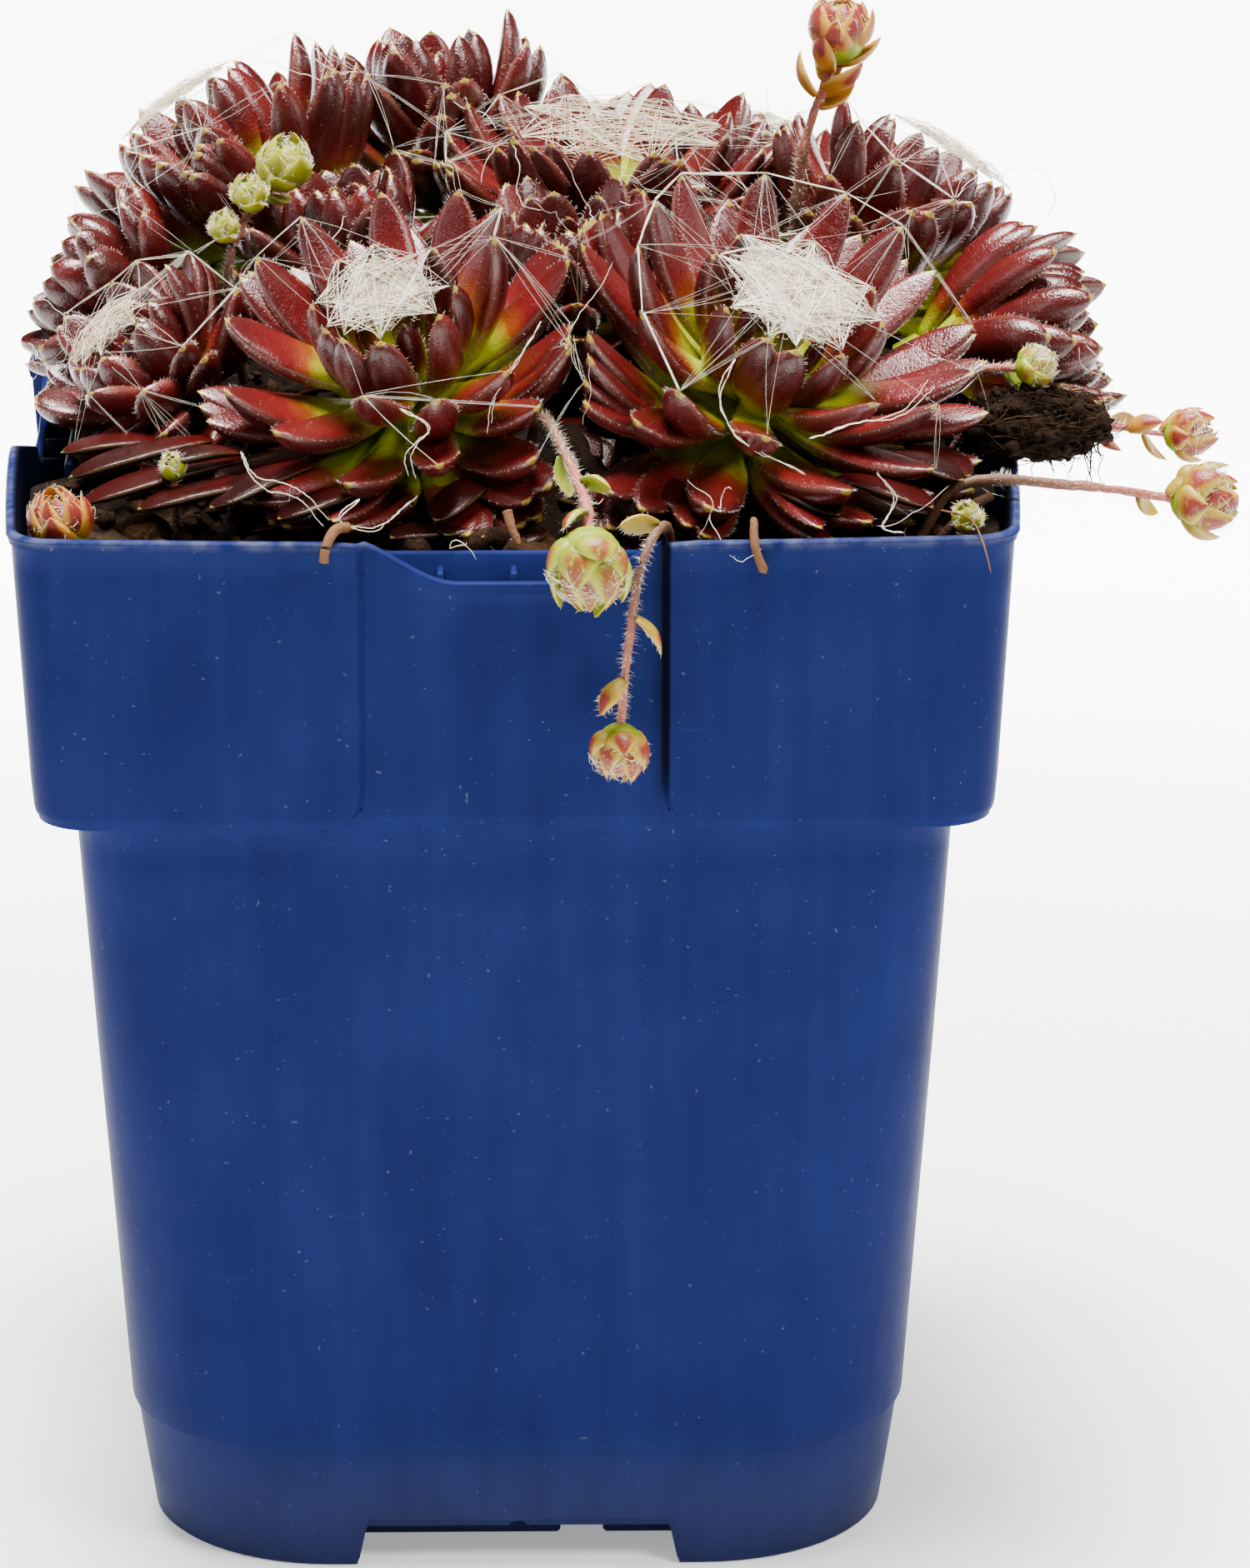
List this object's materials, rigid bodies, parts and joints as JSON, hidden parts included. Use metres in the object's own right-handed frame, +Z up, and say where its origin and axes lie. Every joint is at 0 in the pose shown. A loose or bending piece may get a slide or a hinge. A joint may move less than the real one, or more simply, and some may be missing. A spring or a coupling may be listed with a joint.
{
  "type": "potted hens and chicks",
  "caption": "Cobweb houseleek in a square nursery pot: rosettes of pointed fleshy leaves with felted hearts, woolly offsets on runners, potting soil, and a stepped pot with notched foot.",
  "frame": {"origin": "centre of the pot's base, on the surface that it stands on", "axes": "+Z up, -Y towards the front side, which the hanging offset trails over, +X to the right side, which the long runners reach out over"},
  "size_m": [0.1116, 0.1022, 0.1404],
  "materials": {
    "pot": "satin moulded polypropylene, navy to royal blue, with faint flow lines and scuffs",
    "soil": "dark crumbly potting soil with bark chips, matt",
    "leaf": "glossy fleshy leaf, burgundy red, yellow-green at the root and tip, with fine pale hairs",
    "web": "off-white felt of fine hairs, matt",
    "chick": "woolly pale green bud with red leaf tips on a pinkish brown hairy runner",
    "root": "fibrous dark roots and soil, matt"
  },
  "bodies": {
    "root": {"pot": "pot", "soil": "soil", "rosette_front_left": "leaf", "rosette_front_right": "leaf", "rosette_left": "leaf", "rosette_back_left": "leaf", "rosette_back_middle": "leaf", "rosette_back_right": "leaf", "rosette_right": "leaf", "rosette_low_left": "leaf", "rosette_middle": "leaf", "rosette_inner_left": "leaf", "rosette_rear_left": "leaf", "rosette_rear_right": "leaf", "web_front_left": "web", "web_front_right": "web", "web_left": "web", "web_back_left": "web", "web_back_middle": "web", "web_back_right": "web", "web_rear_right": "web", "chick_front": "chick", "chick_hanging": "chick", "chick_right_long": "chick", "chick_right_upper": "chick", "chick_right_hairy": "chick", "chick_tall": "chick", "chick_cluster": "chick", "chick_corner": "chick", "chick_small_left": "chick", "chick_small_right": "chick", "root_clod": "root"}
  },
  "joints": []
}
